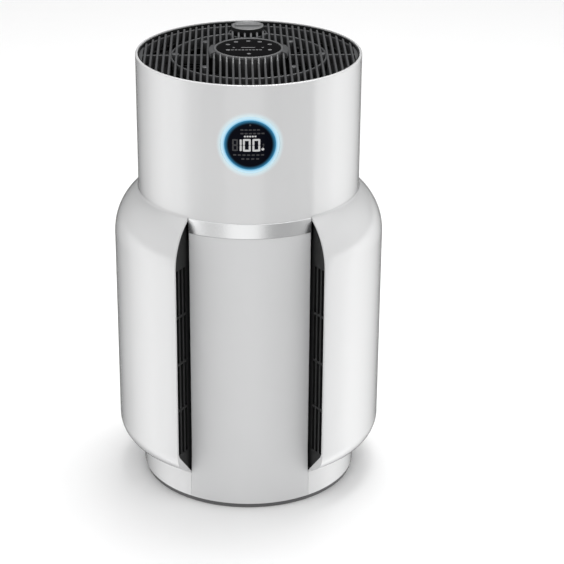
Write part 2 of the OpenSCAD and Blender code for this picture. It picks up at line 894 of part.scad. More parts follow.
foot_ring();
base_frame();
inner_frame();
front_panel();
rear_panel();
accent_band();
upper_shell();
outlet_grille();
control_hub();
control_panel();
control_board();
display_lens();
display_ring();
display_housing();
display_board();
handle_pocket();
fan_duct();
inlet_bellmouth();
guide_vanes();
motor_mount();
motor();
motor_bearings();
motor_dampers();
impeller();
motor_shaft();
shaft_clip();
filter_media();
filter_top_cap();
filter_bottom_cap();
filter_seal();
filter_pull_tab();
carbon_sleeve();
filter_door();
cover_shell();  // side_cover_right
left() cover_shell();  // side_cover_left
front() slot_grille();  // intake_grille_front_right
slot_grille();  // intake_grille_rear_right
front() left() slot_grille();  // intake_grille_front_left
left() slot_grille();  // intake_grille_rear_left
screen_frame();  // screen_frame_right
left() screen_frame();  // screen_frame_left
screen_mesh();  // screen_mesh_right
left() screen_mesh();  // screen_mesh_left
cover_magnets();  // cover_magnets_right
left() cover_magnets();  // cover_magnets_left
cover_strikes();
odour_cup();
odour_cartridge();
odour_dial();
power_board();
particle_sensor();
power_inlet();
inlet_pins();
mains_wires();
grille_screws();
base_screws();
motor_screws();
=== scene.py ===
"""Looks, light and camera for a free-standing tower air purifier.

Outlines are in millimetres, and the scene is in metres.
"""

import json
import math

import bmesh
import bpy
import numpy as np
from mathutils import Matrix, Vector


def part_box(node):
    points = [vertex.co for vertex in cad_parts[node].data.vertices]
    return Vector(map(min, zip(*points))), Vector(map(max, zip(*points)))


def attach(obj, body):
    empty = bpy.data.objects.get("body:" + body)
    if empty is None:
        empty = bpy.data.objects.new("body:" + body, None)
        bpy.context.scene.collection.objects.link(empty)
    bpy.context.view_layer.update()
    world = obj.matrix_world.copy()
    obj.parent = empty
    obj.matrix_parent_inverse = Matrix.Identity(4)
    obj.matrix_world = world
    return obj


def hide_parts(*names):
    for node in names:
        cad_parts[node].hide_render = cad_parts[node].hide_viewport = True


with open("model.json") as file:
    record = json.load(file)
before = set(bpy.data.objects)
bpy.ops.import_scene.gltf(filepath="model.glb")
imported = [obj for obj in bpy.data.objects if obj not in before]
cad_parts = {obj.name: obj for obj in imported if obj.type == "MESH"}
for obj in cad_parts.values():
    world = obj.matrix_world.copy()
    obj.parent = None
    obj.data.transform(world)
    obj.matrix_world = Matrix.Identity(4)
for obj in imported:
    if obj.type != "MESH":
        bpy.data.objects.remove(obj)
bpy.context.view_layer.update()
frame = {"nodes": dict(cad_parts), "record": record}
nodes = frame["nodes"]
MM = 0.001


def low(node, axis):
    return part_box(node)[0][axis] / MM


def high(node, axis):
    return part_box(node)[1][axis] / MM


def distances(node):
    """Distances of a node's points from the vertical axis"""
    return [math.hypot(v.co.x, v.co.y) / MM for v in nodes[node].data.vertices]


# Sizes read from the frame, in millimetres
CORE_R = high("upper_shell", 0)
RIM_Z = high("upper_shell", 2)
SKIRT_Z = low("upper_shell", 2)
BAND_Z1 = high("accent_band", 2)
BAND_R = max(distances("accent_band"))
COVER_R = max(distances("side_cover_right"))
COVER_IN = min(distances("side_cover_right"))
FOOT_H = high("foot_ring", 2)
FOOT_R = high("foot_ring", 0)
BASE_TOP = high("base_frame", 2)
PANEL_Z0, PANEL_Z1 = low("front_panel", 2), high("front_panel", 2)
REAR_Z1 = high("rear_panel", 2)
LENS_Z = (low("display_lens", 2) + high("display_lens", 2)) / 2
LENS_R = (high("display_lens", 2) - low("display_lens", 2)) / 2
RING_R = (high("display_ring", 2) - low("display_ring", 2)) / 2
GRILLE_R = high("outlet_grille", 0)
GRILLE_Z0 = low("outlet_grille", 2)
HUB_R = high("control_hub", 0)
HUB_Z = high("control_hub", 2)
DISC_R = high("control_panel", 0)
DISC_Z = high("control_panel", 2)
DIAL_Y = (low("odour_dial", 1) + high("odour_dial", 1)) / 2
DIAL_R = high("odour_dial", 0)
DIAL_Z0, DIAL_Z1 = low("odour_dial", 2), high("odour_dial", 2)
GRIP_Z = (low("handle_pocket", 2) + high("handle_pocket", 2)) / 2
GRIP_BACK = low("handle_pocket", 1) + 2.5
INLET_Z = (low("power_inlet", 2) + high("power_inlet", 2)) / 2

# Sizes of the shapes, in millimetres and degrees
RIGHT, BACK, LEFT, FRONT = 0, 90, 180, -90
WALL = 2.7
HALF_COLUMN = 32.5
HALF_SIDE = 90 - HALF_COLUMN
RIM_R = 1.5
LEDGE_DEPTH = 17
SHOULDER_R, SHOULDER_Z = 68, 310.5
CORNER_R, CORNER_Z = 26, 71
UNDERSIDE = 35
COVER_WALL = 2.5
BLEND_R = 4
SLAT_PITCH, SLAT_W = 7.2, 2.6
SLAT_TOP = RIM_Z - 2
SLAT_Z0 = GRILLE_Z0 + 2
RIB_RING_R = 89
CHEEK_R, CHEEK_ANGLE = 46.5, 21
WELL_R = DIAL_R + 2
BOSSES = [(84, 0), (84, 180), (70, 45), (70, 135), (70, -45), (70, -135)]
GRIP_W, GRIP_H, GRIP_CORNER = 100, 34, 8


# ---------- materials ----------


def node_of(tree, kind, **inputs):
    made = tree.nodes.new(kind)
    for key, value in inputs.items():
        made.inputs[key.replace("_", " ")].default_value = value
    return made


def material(
    name,
    colour,
    rough=0.4,
    metal=0.0,
    tint=0.03,
    grain=1200.0,
    bump=0.05,
    stretch=(1, 1, 1),
    coat=0.0,
    coat_rough=0.05,
    sheen=0.0,
    specular=0.5,
    rough_spread=0.06,
):
    """Principled surface with a grain: tint varies colour, rough_spread roughness and bump height"""
    m = bpy.data.materials.new(name)
    m.use_nodes = True
    tree = m.node_tree
    shader = tree.nodes["Principled BSDF"]
    shader.inputs["Metallic"].default_value = metal
    shader.inputs["Specular IOR Level"].default_value = specular
    shader.inputs["Coat Weight"].default_value = coat
    shader.inputs["Coat Roughness"].default_value = coat_rough
    shader.inputs["Sheen Weight"].default_value = sheen
    place = tree.nodes.new("ShaderNodeTexCoord")
    scaled = node_of(tree, "ShaderNodeMapping", Scale=stretch)
    tree.links.new(place.outputs["Object"], scaled.inputs["Vector"])
    fine = node_of(tree, "ShaderNodeTexNoise", Scale=grain, Detail=3.0, Roughness=0.55)
    broad = node_of(tree, "ShaderNodeTexNoise", Scale=14.0, Detail=2.0)
    for noise in (fine, broad):
        tree.links.new(scaled.outputs["Vector"], noise.inputs["Vector"])
    mix = tree.nodes.new("ShaderNodeMix")
    mix.data_type = "RGBA"
    mix.inputs[6].default_value = (*[c * (1 - tint) for c in colour], 1)
    mix.inputs[7].default_value = (*[min(1.0, c * (1 + tint)) for c in colour], 1)
    tree.links.new(broad.outputs["Fac"], mix.inputs[0])
    tree.links.new(mix.outputs[2], shader.inputs["Base Color"])
    span = node_of(tree, "ShaderNodeMapRange", To_Min=max(0.02, rough - rough_spread))
    span.inputs["To Max"].default_value = min(1.0, rough + rough_spread)
    tree.links.new(fine.outputs["Fac"], span.inputs["Value"])
    tree.links.new(span.outputs["Result"], shader.inputs["Roughness"])
    height = node_of(tree, "ShaderNodeBump", Strength=bump, Distance=0.0002)
    tree.links.new(fine.outputs["Fac"], height.inputs["Height"])
    tree.links.new(height.outputs["Normal"], shader.inputs["Normal"])
    return m


def glow(m, centre, radii, inner, outer, strength):
    """Light that changes from inner to outer colour between two distances from a point, in millimetres"""
    tree = m.node_tree
    shader = tree.nodes["Principled BSDF"]
    place = tree.nodes.new("ShaderNodeTexCoord")
    gap = tree.nodes.new("ShaderNodeVectorMath")
    gap.operation = "DISTANCE"
    gap.inputs[1].default_value = [c * MM for c in centre]
    span = node_of(tree, "ShaderNodeMapRange", From_Min=radii[0] * MM, From_Max=radii[1] * MM)
    span.interpolation_type = "SMOOTHSTEP"
    mix = tree.nodes.new("ShaderNodeMix")
    mix.data_type = "RGBA"
    mix.inputs[6].default_value = (*inner, 1)
    mix.inputs[7].default_value = (*outer, 1)
    tree.links.new(place.outputs["Object"], gap.inputs[0])
    tree.links.new(gap.outputs["Value"], span.inputs["Value"])
    tree.links.new(span.outputs["Result"], mix.inputs[0])
    tree.links.new(mix.outputs[2], shader.inputs["Emission Color"])
    shader.inputs["Emission Strength"].default_value = strength
    return m


def lit(m, strength):
    """White light of its own"""
    shader = m.node_tree.nodes["Principled BSDF"]
    shader.inputs["Emission Color"].default_value = (1, 1, 1, 1)
    shader.inputs["Emission Strength"].default_value = strength
    return m


def weave(m, pitch, depth):
    """Adds a woven relief of that pitch in millimetres"""
    tree = m.node_tree
    shader = tree.nodes["Principled BSDF"]
    place = tree.nodes.new("ShaderNodeTexCoord")
    height = node_of(tree, "ShaderNodeBump", Strength=depth, Distance=0.0006)
    both = tree.nodes.new("ShaderNodeMath")
    both.operation = "MULTIPLY"
    for slot, axis in enumerate(("X", "Z")):
        wave = node_of(tree, "ShaderNodeTexWave", Scale=0.3142 / (pitch * MM))
        wave.bands_direction = axis
        tree.links.new(place.outputs["Object"], wave.inputs["Vector"])
        tree.links.new(wave.outputs["Fac"], both.inputs[slot])
    tree.links.new(both.outputs["Value"], height.inputs["Height"])
    tree.links.new(height.outputs["Normal"], shader.inputs["Normal"])
    return m


DISPLAY = (0, -CORE_R, LENS_Z)

# The shell's white has a painted glow around the display: teal emission that stands in for the light ring's
# light falling on the shell
shell_white = glow(
    material(
        "shell_white", (0.595, 0.597, 0.6), 0.14, tint=0.006, grain=420, bump=0.01, coat=0.9,
        coat_rough=0.05, rough_spread=0.03,
    ),
    DISPLAY, (RING_R + 0.2, RING_R + 6), (0.04, 0.17, 0.21), (0, 0, 0), 1.0,
)
panel_white = material("panel_white", (0.6, 0.603, 0.607), 0.34, tint=0.008, grain=1500, bump=0.05)
band_metal = material(
    "band_metal", (0.78, 0.785, 0.79), 0.26, metal=1.0, tint=0.02, grain=900, bump=0.06, stretch=(1, 1, 12)
)
grille_grey = material("grille_grey", (0.062, 0.063, 0.065), 0.36, tint=0.05, grain=1600, bump=0.12)
hub_grey = material("hub_grey", (0.1, 0.101, 0.103), 0.34, tint=0.04, grain=1600, bump=0.1)
dial_grey = material("dial_grey", (0.15, 0.152, 0.154), 0.34, tint=0.04, grain=1500, bump=0.1)
disc_black = material(
    "disc_black", (0.002, 0.002, 0.0024), 0.12, tint=0.1, grain=300, bump=0.004, specular=0.2,
    rough_spread=0.03,
)
lens_black = glow(
    material(
        "lens_black", (0.0015, 0.0015, 0.002), 0.1, tint=0.1, grain=300, bump=0.003, rough_spread=0.02,
        specular=0.03,
    ),
    DISPLAY, (LENS_R - 4.5, LENS_R + 2.5), (0, 0.0004, 0.003), (0.06, 0.31, 0.56), 1.0,
)
light_ring = glow(
    material("light_ring", (0.05, 0.14, 0.2), 0.4, tint=0.02, grain=600, bump=0.02),
    DISPLAY, (LENS_R - 0.6, RING_R - 1.2), (0.08, 0.33, 0.52), (0.5, 0.64, 0.7), 1.0,
)
mark_light = lit(material("mark_light", (0.12, 0.12, 0.124), 0.5, tint=0.02, grain=900, bump=0.02), 0.035)
digit_light = lit(material("digit_light", (0.2, 0.2, 0.2), 0.5, tint=0.02, grain=900, bump=0.02), 0.34)
digit_dim = material("digit_dim", (0.022, 0.022, 0.024), 0.5, tint=0.05, grain=900, bump=0.02)
slot_black = material(
    "slot_black", (0.006, 0.0062, 0.0065), 0.5, tint=0.05, grain=1400, bump=0.12, specular=0.34
)
foot_rubber = material(
    "foot_rubber", (0.105, 0.105, 0.107), 0.62, tint=0.06, grain=2400, bump=0.25, specular=0.3
)
machine_grey = material("machine_grey", (0.005, 0.0052, 0.0056), 0.55, tint=0.08, grain=1500, bump=0.2)
black_rubber = material(
    "black_rubber", (0.018, 0.018, 0.018), 0.7, tint=0.08, grain=2600, bump=0.3, specular=0.3
)
filter_paper = material(
    "filter_paper", (0.72, 0.7, 0.64), 0.9, tint=0.05, grain=3200, bump=0.5, sheen=0.2, specular=0.2
)
carbon_cloth = weave(
    material("carbon_cloth", (0.02, 0.02, 0.02), 0.85, tint=0.15, sheen=0.2, specular=0.2), 1.6, 0.7
)
screen_cloth = weave(
    material("screen_cloth", (0.03, 0.03, 0.032), 0.8, tint=0.1, sheen=0.15, specular=0.3), 1.2, 0.8
)
webbing = weave(material("webbing", (0.2, 0.205, 0.21), 0.85, tint=0.08, sheen=0.3, specular=0.2), 1.5, 0.8)
impeller_plastic = material("impeller_plastic", (0.6, 0.605, 0.61), 0.42, tint=0.02, grain=1400, bump=0.1)
motor_metal = material("motor_metal", (0.3, 0.31, 0.32), 0.4, metal=1.0, tint=0.05, grain=1200, bump=0.1)
steel = material(
    "steel", (0.6, 0.61, 0.62), 0.28, metal=1.0, tint=0.04, grain=1800, bump=0.08, stretch=(1, 1, 8)
)
brass = material("brass", (0.75, 0.58, 0.25), 0.25, metal=1.0, tint=0.05, grain=1500, bump=0.06)
circuit_board = material("circuit_board", (0.02, 0.13, 0.06), 0.4, tint=0.15, grain=700, bump=0.2)
cartridge_teal = material("cartridge_teal", (0.16, 0.5, 0.48), 0.45, tint=0.03, grain=1300, bump=0.1)

# The frame's material slots; every node has its slot's material unless a piece below replaces it
SLOTS = {
    "shell_white": shell_white,
    "panel_white": panel_white,
    "band_metal": band_metal,
    "grille_grey": grille_grey,
    "hub_grey": hub_grey,
    "panel_black": disc_black,
    "light_ring": light_ring,
    "dark_plastic": slot_black,
    "machine_grey": machine_grey,
    "foot_rubber": foot_rubber,
    "black_rubber": black_rubber,
    "filter_paper": filter_paper,
    "carbon_cloth": carbon_cloth,
    "screen_cloth": screen_cloth,
    "webbing": webbing,
    "impeller_plastic": impeller_plastic,
    "motor_metal": motor_metal,
    "steel": steel,
    "brass": brass,
    "circuit_board": circuit_board,
    "cartridge_teal": cartridge_teal,
}
for part in frame["record"]["subparts"]:
    mesh = nodes[part["node"]].data
    black = part["node"].startswith("intake_grille")
    mesh.materials.clear()
    mesh.materials.append(slot_black if black else SLOTS[part["material_slot"]])


# ---------- mesh tools ----------


def piece(name, verts, faces, surface, body="housing", sharp=32.0, bevel=0.0, bevel_angle=40.0):
    """Mesh object from points in millimetres, riding on a body"""
    mesh = bpy.data.meshes.new(name)
    mesh.from_pydata([[c * MM for c in v] for v in verts], [], faces)
    tidy = bmesh.new()
    tidy.from_mesh(mesh)
    bmesh.ops.remove_doubles(tidy, verts=tidy.verts, dist=1e-7)
    bmesh.ops.recalc_face_normals(tidy, faces=tidy.faces)
    tidy.to_mesh(mesh)
    tidy.free()
    o = bpy.data.objects.new(name, mesh)
    bpy.context.scene.collection.objects.link(o)
    mesh.materials.append(surface)
    mesh.shade_smooth()
    mesh.set_sharp_from_angle(angle=math.radians(sharp))
    if bevel:
        add_bevel(o, bevel, bevel_angle)
    if body:
        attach(o, body)
    return o


def add_bevel(o, width, angle=40.0, segments=3):
    rounding = o.modifiers.new("rounding", "BEVEL")
    rounding.width = width * MM
    rounding.segments = segments
    rounding.limit_method = "ANGLE"
    rounding.angle_limit = math.radians(angle)
    rounding.use_clamp_overlap = True
    weighting = o.modifiers.new("normals", "WEIGHTED_NORMAL")
    weighting.keep_sharp = True


def lathe_parts(outline, start=0.0, end=360.0, step=1.0, centre=(0, 0)):
    """Points and faces of a closed (r, z) outline turned about a vertical line, in degrees from +X"""
    full = end - start > 359.9
    count = max(3, round((end - start) / step))
    angles = np.radians(np.linspace(start, end, count + 1))[: count if full else count + 1]
    n = len(outline)
    cx, cy = centre
    verts = [(cx + r * math.cos(a), cy + r * math.sin(a), z) for a in angles for r, z in outline]
    faces = []
    for i in range(count):
        j = (i + 1) % len(angles)
        faces += [(i * n + k, j * n + k, j * n + (k + 1) % n, i * n + (k + 1) % n) for k in range(n)]
    if not full:
        faces += [tuple(range(n)), tuple(count * n + k for k in range(n))]
    return verts, faces


def joined(*parts):
    verts, faces = [], []
    for v, f in parts:
        faces += [tuple(k + len(verts) for k in face) for face in f]
        verts += v
    return verts, faces


def lathe(name, outline, surface, start=0.0, end=360.0, step=1.0, centre=(0, 0), **how):
    return piece(name, *lathe_parts(outline, start, end, step, centre), surface, **how)


def arc(cx, cz, r, start, end, count=10):
    angles = np.radians(np.linspace(start, end, count))
    return [(cx + r * math.cos(a), cz + r * math.sin(a)) for a in angles]


def rounded_rectangle(w, h, r, count=8):
    """Closed (x, z) loop centred on the origin, anticlockwise"""
    loop = []
    for sx, sz, a in ((1, 1, 0), (-1, 1, 90), (-1, -1, 180), (1, -1, 270)):
        loop += arc(sx * (w / 2 - r), sz * (h / 2 - r), r, a, a + 90, count)
    return loop


def loft_parts(loops, cap_start=False, cap_end=False):
    """Points and faces that join rings of equally many points"""
    n = len(loops[0])
    verts = [p for loop in loops for p in loop]
    faces = [
        (i * n + k, i * n + (k + 1) % n, (i + 1) * n + (k + 1) % n, (i + 1) * n + k)
        for i in range(len(loops) - 1)
        for k in range(n)
    ]
    if cap_start:
        faces.append(tuple(range(n)))
    if cap_end:
        faces.append(tuple((len(loops) - 1) * n + k for k in range(n)))
    return verts, faces


def cut(o, *cutters):
    """Takes the cutters' volume out of o and drops them"""
    for c in cutters:
        m = o.modifiers.new("cut", "BOOLEAN")
        m.operation = "DIFFERENCE"
        m.solver = "EXACT"
        m.object = c
    bpy.context.view_layer.update()
    mesh = bpy.data.meshes.new_from_object(o.evaluated_get(bpy.context.evaluated_depsgraph_get()))
    o.modifiers.clear()
    o.data = mesh
    mesh.shade_smooth()
    mesh.set_sharp_from_angle(angle=math.radians(32))
    for c in cutters:
        bpy.data.objects.remove(c)
    return o


def prism_y(name, loop, y0, y1, z):
    """Bar along Y with a closed (x, z) outline"""
    loops = [[(x, y, z + h) for x, h in loop] for y in (y0, y1)]
    return piece(name, *loft_parts(loops, True, True), shell_white, body=None)


# ---------- white shells ----------


def upper_shell():
    """Upper shell with its rounded rim and the ledge that the outlet grille rests on"""
    inner = CORE_R - WALL
    ledge = RIM_Z - LEDGE_DEPTH
    outline = [(inner, SKIRT_Z), (CORE_R, SKIRT_Z)]
    outline += [(CORE_R, z) for z in np.linspace(SKIRT_Z + 5, RIM_Z - RIM_R - 4, 30)]
    outline += arc(CORE_R - RIM_R, RIM_Z - RIM_R, RIM_R, 0, 90, 8)
    outline += [(inner, RIM_Z), (inner, ledge)]
    outline += [(inner - 3, ledge), (inner - 3, ledge - 3), (inner, ledge - 3)]
    shell = lathe("shell", outline, shell_white, step=0.75)
    cutters = []
    r0, r1 = inner - 2, CORE_R + 2
    z0, z1 = SKIRT_Z - 2, BAND_Z1 + 0.5
    for mid in (FRONT, BACK):
        edge = HALF_COLUMN + 2.4
        box = [(r0, z0), (r1, z0), (r1, z1), (r0, z1)]
        cutters.append(lathe("gap", box, shell_white, mid - edge, mid + edge, body=None))
    hole = arc(0, 0, RING_R + 0.2, 0, 360, 121)[:-1]
    cutters.append(prism_y("hole", hole, -CORE_R - 10, -CORE_R + 20, LENS_Z))
    grip = rounded_rectangle(GRIP_W + 3, GRIP_H + 3, GRIP_CORNER + 1.5)
    cutters.append(prism_y("grip", grip, CORE_R - 30, CORE_R + 10, GRIP_Z))
    cut(shell, *cutters)
    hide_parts("upper_shell")


def cover_outline():
    """Closed outline of a side cover: the outside from the lower edge to the top, then the inside"""
    cx, cz = COVER_R - CORNER_R, CORNER_Z
    sx = COVER_R - SHOULDER_R
    slope = math.tan(math.radians(UNDERSIDE))

    def underside(r):
        tx = cx + r * math.sin(math.radians(UNDERSIDE))
        tz = cz - r * math.cos(math.radians(UNDERSIDE))
        return (COVER_IN, tz - (tx - COVER_IN) * slope)

    blend_x = COVER_IN + BLEND_R
    blend_z = SHOULDER_Z + math.sqrt((SHOULDER_R + BLEND_R) ** 2 - (blend_x - sx) ** 2)
    meet = math.degrees(math.atan2(blend_z - SHOULDER_Z, blend_x - sx))
    inner_r = SHOULDER_R - COVER_WALL
    top = math.degrees(math.acos((COVER_IN - sx) / inner_r))
    outside = [underside(CORNER_R)]
    outside += arc(cx, cz, CORNER_R, UNDERSIDE - 90, 0, 22)
    outside += [(COVER_R, z) for z in np.linspace(CORNER_Z + 4, SHOULDER_Z - 4, 34)]
    outside += arc(sx, SHOULDER_Z, SHOULDER_R, 0, meet, 36)
    outside += arc(blend_x, blend_z, BLEND_R, meet - 180, -180, 9)[1:]
    inside = arc(sx, SHOULDER_Z, inner_r, top, 0, 24)
    lip_x, lip_z = underside(CORNER_R - COVER_WALL)
    inside += [(COVER_R - COVER_WALL, CORNER_Z + 3), (COVER_R - COVER_WALL - 2, CORNER_Z - 2)]
    return outside + inside + [(lip_x, lip_z)]


def side_covers():
    for side, mid in (("right", RIGHT), ("left", LEFT)):
        cover = lathe(
            "cover_shell_" + side, cover_outline(), shell_white, mid - HALF_SIDE, mid + HALF_SIDE, step=0.8,
            body="cover_" + side, bevel=1.1, bevel_angle=50,
        )
        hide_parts("side_cover_" + side)


def column_plan(half, edge):
    """(r, angle) loop of a column panel whose long edges are rounded"""
    inner = CORE_R - WALL
    turn = math.degrees(edge / CORE_R)
    plan = [(inner, -half)]
    for a in np.linspace(0, 90, 7):
        t = math.radians(a)
        plan.append((CORE_R - edge + edge * math.sin(t), -half + turn * (1 - math.cos(t))))
    plan += [(CORE_R, a) for a in np.linspace(-half + turn + 0.6, half - turn - 0.6, 84)]
    for a in np.linspace(90, 0, 7):
        t = math.radians(a)
        plan.append((CORE_R - edge + edge * math.sin(t), half - turn * (1 - math.cos(t))))
    return plan + [(inner, half)] + [(inner, a) for a in np.linspace(half - 4, -half + 4, 15)]


def column(name, mid, z0, z1, node, cutters=()):
    """Column panel: rounded edges between the covers, and closed up to the base's walls below them"""
    slim, wide = (HALF_COLUMN - 0.08, 1.5), (HALF_COLUMN + 0.12, 0.25)
    levels = [(z0, wide), (BASE_TOP + 0.6, wide), (BASE_TOP + 1.4, (HALF_COLUMN - 0.08, 0.3))]
    levels += [(BASE_TOP + 3 + 2.5 * k, (HALF_COLUMN - 0.08, 0.3 + 0.12 * k)) for k in range(1, 11)]
    levels += [(z, slim) for z in np.linspace(BASE_TOP + 34, z1 - 0.1, 26)] + [(z1, slim)]
    loops = []
    for z, shape in levels:
        loops.append([
            (r * math.cos(math.radians(mid + a)), r * math.sin(math.radians(mid + a)), z)
            for r, a in column_plan(*shape)
        ])
    o = piece(name, *loft_parts(loops, True, True), panel_white, sharp=40)
    if cutters:
        cut(o, *cutters)
    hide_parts(node)


def columns():
    column("column_front", -90, PANEL_Z0, PANEL_Z1, "front_panel")
    sensor_z = (low("particle_sensor", 2) + high("particle_sensor", 2)) / 2
    w = high("power_inlet", 0) - low("power_inlet", 0) + 0.3
    h = high("power_inlet", 2) - low("power_inlet", 2) + 0.3
    cutters = [prism_y("socket", rounded_rectangle(w, h, 2), CORE_R - 20, CORE_R + 5, INLET_Z)]
    for i in range(-3, 4):
        cutters.append(
            prism_y("vent", rounded_rectangle(26, 1.8, 0.8, 4), CORE_R - 20, CORE_R + 5, sensor_z + 4.5 * i)
        )
    column("column_rear", 90, low("rear_panel", 2), REAR_Z1, "rear_panel", cutters)


def accent_band():
    """Aluminium band above the front column"""
    half = HALF_COLUMN - 0.25
    inner, outer = CORE_R - WALL, BAND_R
    z0, z1 = PANEL_Z1 + 0.03, BAND_Z1 + 0.45
    outline = [(inner, z0), (CORE_R - 0.2, z0), (outer, z0 + 0.6)]
    outline += [(outer, z) for z in np.linspace(z0 + 1.2, z1 - 1, 12)]
    outline += [(outer, z1 - 0.5), (CORE_R - 0.3, z1), (inner, z1)]
    band = lathe(
        "band", outline, band_metal, FRONT - half, FRONT + half, step=0.6, sharp=25, bevel=0.35,
        bevel_angle=60,
    )
    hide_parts("accent_band")


def base():
    r = FOOT_R
    outline = [(110, 0.4), (110.4, 0), (r - 1.2, 0)] + arc(r - 1.2, 1.2, 1.2, -90, 0, 6)
    outline += [(r, FOOT_H), (110, FOOT_H)]
    foot = lathe("foot", outline, foot_rubber, sharp=40)
    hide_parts("foot_ring")


def handle():
    """Grip pocket with a rolled lip around its mouth"""
    def on_shell(w, h, r, back):
        return [
            (x, math.sqrt(max(0.0, (CORE_R + 0.05) ** 2 - x * x)) - back, GRIP_Z + z)
            for x, z in rounded_rectangle(w, h, r, 12)
        ]

    loops = [on_shell(GRIP_W + 3.4, GRIP_H + 3.4, GRIP_CORNER + 1.7, 2.0)]
    loops.append(on_shell(GRIP_W + 3.2, GRIP_H + 3.2, GRIP_CORNER + 1.6, 0.25))
    for a in np.linspace(10, 90, 7):
        t = math.radians(a)
        grow = 3.0 * (1 - math.sin(t))
        back = 1.8 * (1 - math.cos(t))
        loops.append(on_shell(GRIP_W + grow, GRIP_H + grow, GRIP_CORNER + grow / 2, back))
    mouth = rounded_rectangle(GRIP_W, GRIP_H, GRIP_CORNER, 12)
    back_r = GRIP_CORNER - 3
    wall_end = GRIP_BACK + back_r
    start = [math.sqrt(CORE_R**2 - x * x) - 1.8 for x, _ in mouth]
    for t in (0.35, 0.7, 1.0):
        loops.append([(x, y + min(0, wall_end - y) * t, GRIP_Z + z) for (x, z), y in zip(mouth, start)])
    for a in (20, 40, 60, 80, 90):
        t = math.radians(a)
        pull = back_r * (1 - math.cos(t))
        inner = rounded_rectangle(GRIP_W - 2 * pull, GRIP_H - 2 * pull, GRIP_CORNER - pull, 12)
        loops.append([(x, GRIP_BACK + back_r * (1 - math.sin(t)), GRIP_Z + z) for x, z in inner])
    o = piece("grip_pocket", *loft_parts(loops, cap_end=True), panel_white, sharp=60)
    thick = o.modifiers.new("thickness", "SOLIDIFY")
    thick.thickness = 1.6 * MM
    thick.offset = 0
    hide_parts("handle_pocket")


# ---------- top ----------


def slat_height(x, y):
    """Height of the slats' tops: level, rising to the hub and to the dial"""
    r = math.hypot(x, y)
    xs = [HUB_R, CHEEK_R + 2, CHEEK_R + 12, GRILLE_R - 5, GRILLE_R - 2, GRILLE_R]
    zs = [HUB_Z - 0.8, SLAT_TOP + 1.4, SLAT_TOP, SLAT_TOP, SLAT_TOP, SLAT_TOP - 0.6]
    near_dial = np.interp(math.hypot(x, y - DIAL_Y) - DIAL_R, [0, 3, 9, 14], [3.2, 2.9, 0.7, 0])
    return float(np.interp(r, xs, zs) + near_dial)


def slat(x, y0, y1, z_low):
    """One slat from y0 to y1, with a rounded top that follows slat_height"""
    half = SLAT_W / 2
    crown = half * 0.75
    foot = half * 0.8
    count = max(3, int((y1 - y0) / 1.5))
    loops = []
    for y in np.linspace(y0, y1, count):
        top = slat_height(x, y)
        head = [
            (x + half * math.cos(a), y, top - crown + crown * math.sin(a))
            for a in np.linspace(0, math.pi, 9)
        ]
        loops.append([(x + foot, y, z_low), *head, (x - foot, y, z_low)])
    return loft_parts(loops, True, True)


def slat_spans(x, reach):
    """Stretches of the slat at x that are clear of the hub and of the dial's well"""
    far = math.sqrt(reach**2 - x * x)
    spans = [(-far, far)]
    if abs(x) < HUB_R:
        near = math.sqrt(HUB_R**2 - x * x)
        spans = [(-far, -near), (near, far)]
    well = DIAL_R + 0.8
    nearest = abs(x) - SLAT_W / 2
    if nearest < well:
        gap = math.sqrt(well**2 - nearest**2)
        start, end = spans.pop()
        spans += [(start, DIAL_Y - gap), (DIAL_Y + gap, end)]
    return [(y0, y1) for y0, y1 in spans if y1 - y0 > 1.5]


def outlet_slats():
    reach = GRILLE_R - 0.6
    parts = []
    rows = int(reach / SLAT_PITCH) + 1
    for i in range(-rows, rows):
        x = (i + 0.5) * SLAT_PITCH
        if abs(x) <= reach - 4:
            parts += [slat(x, y0, y1, SLAT_Z0) for y0, y1 in slat_spans(x, reach)]
    grille = piece("outlet_slats", *joined(*parts), grille_grey, sharp=50)
    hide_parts("outlet_grille")


def round_topped(r, width, z0, top):
    """(r, z) outline of a ring whose top is a half circle"""
    half = width / 2
    return [(r - half, z0), (r + half, z0)] + arc(r, top - half, half, 0, 180, 7)


def side_web(side):
    """Filled segment where the outermost slat would be too short, on one side"""
    reach = GRILLE_R - 0.4
    span = math.degrees(math.acos((GRILLE_R - 5) / reach))
    chord = [(side * x, y) for x, y in arc(0, 0, reach, -span, span, 25)]
    return loft_parts([[(x, y, z) for x, y in chord] for z in (SLAT_Z0, SLAT_TOP - 1.8)], True, True)


def cross_rib(side):
    """Rib from the hub to the rim on one side, with a narrower top"""
    top = SLAT_TOP - 2
    section = [(-1, SLAT_Z0), (1, SLAT_Z0), (1, top - 0.6), (0.4, top), (-0.4, top), (-1, top - 0.6)]
    ends = sorted((side * (HUB_R + 5), side * (GRILLE_R - 1)))
    return loft_parts([[(x, y, z) for y, z in section] for x in ends], True, True)


